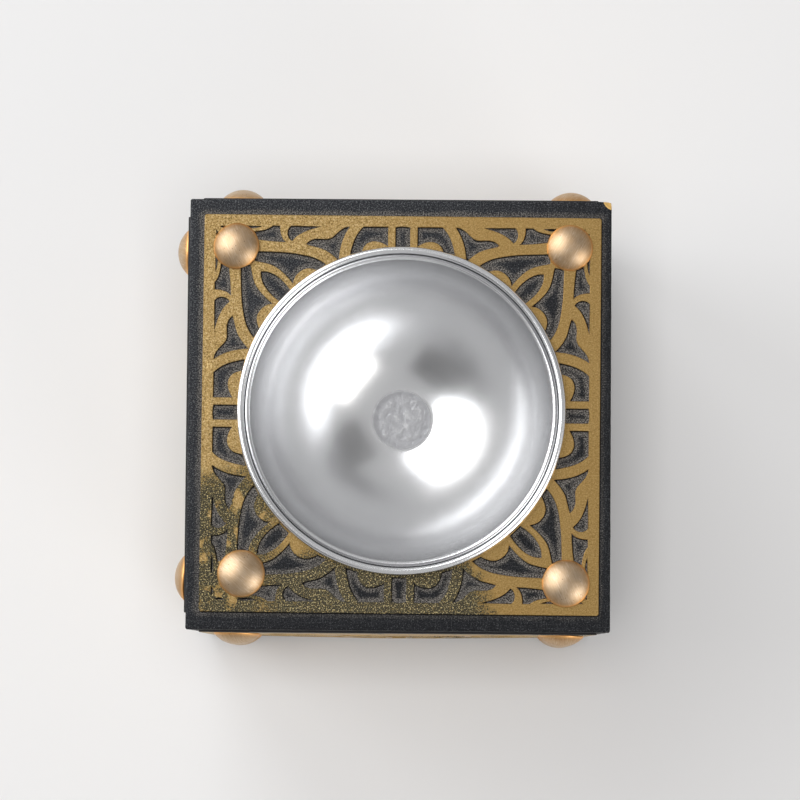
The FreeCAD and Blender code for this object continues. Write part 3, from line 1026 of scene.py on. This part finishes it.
def bowl_profile():
    """From the middle of the inside, up and over the rolled rim, and back underneath."""
    hollow = BOWL_RADIUS - 2 * LIP_ROUND - 2 * BEAD_ROUND
    outside = hollow + BOWL_WALL
    floor_angle = math.degrees(math.acos(BOWL_FLAT / hollow))
    floor = -hollow * math.sin(math.radians(floor_angle))
    under = floor - BOWL_WALL
    under_angle = math.degrees(math.asin(-under / outside))
    bead = hollow + 2 * LIP_ROUND + BEAD_ROUND
    profile = [(r, floor) for r in np.linspace(0, BOWL_FLAT - 0.9, 8)]
    profile += arc((0, 0), hollow, start=-floor_angle + 0.6, end=0, count=84)
    profile += arc((hollow + LIP_ROUND, BEAD_ROUND), LIP_ROUND, start=180, end=0, count=14)
    profile += arc((bead, BEAD_ROUND), BEAD_ROUND, start=180 - 12, end=-135, count=34)
    profile += arc((0, 0), outside, start=0, end=-under_angle, count=60)
    profile += [(r, under) for r in np.linspace(BOWL_FLAT - 1, 0, 6)]
    return profile


def make_bowl(spinning, metal):
    """The bowl, spun from its profile and let down into its place."""
    outline = profile_object("bowl_profile", bowl_profile())
    piece = new_object("spun_bowl", bpy.data.meshes.new("spun_bowl"))
    spinning.run(piece, profile=outline, turns=BOWL_TURNS, material=metal)
    bpy.data.objects.remove(outline)

    def settle(points):
        """Into place, with the slight waves of a wall pushed over a former by hand."""
        points = points / MM
        wave = np.array([noise.noise(Vector(point) * BOWL_WAVES) for point in points])
        depth = np.clip(-points[:, 2] / WANDER_DEPTH, 0, 1)
        distance = np.maximum(np.linalg.norm(points, axis=1), 1e-6)[:, None]
        moved = points + points / distance * (wave * depth * BOWL_WANDER)[:, None]
        return (moved + (BOWL_MIDDLE[0], BOWL_MIDDLE[1], BOWL_SPRING)) * MM

    change_points(piece.data, settle)
    finish_mesh(piece.data, BOWL_SHARP)
    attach(piece, BOWL_BODY)
    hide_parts("bowl")


# ------------------------------------------------------------------ stage
CAMERA_AT = (3.65, -58.0, 982.8)
CAMERA_LOOKS = (-0.00402, 0.07455, -0.99721)
CAMERA_UP = (-0.00795, 0.99718, 0.07458)
CAMERA_LENS = 168.6
CAMERA_SHIFT = -0.0239
CAMERA_REACH = 20                    # metres
FLOOR_HALF = 4000.0
LIGHT_AIM = Vector((0, 0, 60.0))
LIGHTS = {          # place in mm, side, power, colour, whether it lights and whether it shines
    "window": ((-820.0, 475.0, 850.0), 1400.0, 19.0, (0.98, 0.99, 1.0), False, True),
    "window_left": ((-976.0, 261.0, 800.0), 720.0, 5.0, (0.98, 0.99, 1.0), True, False),
    "window_back": ((-378.0, 936.0, 800.0), 720.0, 5.0, (0.98, 0.99, 1.0), True, False),
    "right_card": ((700.0, -520.0, 610.0), 640.0, 4.2, (1.0, 0.98, 0.95), False, True),
    "right_box": ((640.0, -760.0, 500.0), 460.0, 1.6, (1.0, 0.98, 0.95), True, False),
    "ceiling": ((0.0, -140.0, 2500.0), 900.0, 33.5, (1.0, 0.98, 0.97), True, False),
}
FLAGS = {           # dark cards seen only in the metal: place in mm and half size
    "back_flag": ((730.0, 450.0, 870.0), 320.0),
    "front_flag": ((-590.0, -660.0, 800.0), 400.0),
}
ROOM_TINT = (1.0, 1.0, 1.01)
ROOM_LIGHT, ROOM_SHINE = 0.13, 0.46  # how bright the room is as light, and in reflections


def make_camera():
    """Above the holder and a little in front of it, looking down."""
    camera = bpy.data.cameras.new("camera")
    camera.lens, camera.shift_y = CAMERA_LENS, CAMERA_SHIFT
    camera.clip_end = CAMERA_REACH
    seen = new_object("camera", camera)
    forward = Vector(CAMERA_LOOKS).normalized()
    right = forward.cross(Vector(CAMERA_UP)).normalized()
    turn = Matrix((right, right.cross(forward), -forward)).transposed()
    seen.matrix_world = Matrix.Translation(Vector(CAMERA_AT) * MM) @ turn.to_4x4()
    bpy.context.scene.camera = seen


def make_lights():
    """Square soft lights, all turned to the holder."""
    for name, (place, side, power, tint, lights, shines) in LIGHTS.items():
        light = bpy.data.lights.new(name, "AREA")
        light.size, light.energy, light.color = side * MM, power, tint
        lamp = new_object(name, light)
        lamp.location = Vector(place) * MM
        lamp.rotation_euler = (Vector(place) - LIGHT_AIM).to_track_quat("Z", "Y").to_euler()
        lamp.visible_diffuse, lamp.visible_glossy = lights, shines


def make_square(name, half, material):
    """A flat square about the origin."""
    mesh = bpy.data.meshes.new(name)
    corners = [Vector((x, y, 0.0)) * half * MM for x, y in ((-1, -1), (1, -1), (1, 1), (-1, 1))]
    mesh.from_pydata(corners, [], [(0, 1, 2, 3)])
    mesh.materials.append(material)
    return new_object(name, mesh)


def make_flags(dark):
    """Cards that stand in the reflections only, for the metal to have something dark to show."""
    for name, (place, half) in FLAGS.items():
        card = make_square(name, half, dark)
        card.location = Vector(place) * MM
        card.rotation_euler = Vector(place).to_track_quat("Z", "Y").to_euler()
        card.visible_camera = card.visible_diffuse = card.visible_shadow = False


def make_room():
    """A plain room, dimmer as light on things than it looks in the metal."""
    world = bpy.data.worlds.new("room")
    world.use_nodes = True
    room = Tree()
    room.tree = world.node_tree
    room.tree.nodes.clear()
    shiny = room.node("ShaderNodeLightPath", {}, {})["Is Glossy Ray"]
    glow = room.node("ShaderNodeBackground", {}, {
        "Color": (*ROOM_TINT, 1.0), "Strength": ROOM_LIGHT + (ROOM_SHINE - ROOM_LIGHT) * shiny})
    room.node("ShaderNodeOutputWorld", {}, {"Surface": glow["Background"]})
    bpy.context.scene.world = world
    bpy.context.scene.view_settings.view_transform = "Standard"


# ------------------------------------------------------------------ the holder
def main():
    paint, brass, heads, metal = black_paint(), pierced_brass(), nail_brass(), spun_aluminium()
    dust_and_shadow, spinning, nailing = dust_and_shadow_recipe(), spinning_recipe(), nailing_recipe()
    for face in FACES:
        loops = outlines(f"{face}_plate", face) if face in PLATED else []
        make_board(face, loops, paint, dust_and_shadow)
        if loops:
            make_plate(face, loops, brass)
    make_nails(spinning, nailing, heads)
    make_bowl(spinning, metal)
    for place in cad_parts["bottom_board"].material_slots:
        place.material = paint
    make_square("table", FLOOR_HALF, pale_table())
    make_lights()
    make_flags(dark_cloth())
    make_room()
    make_camera()


main()
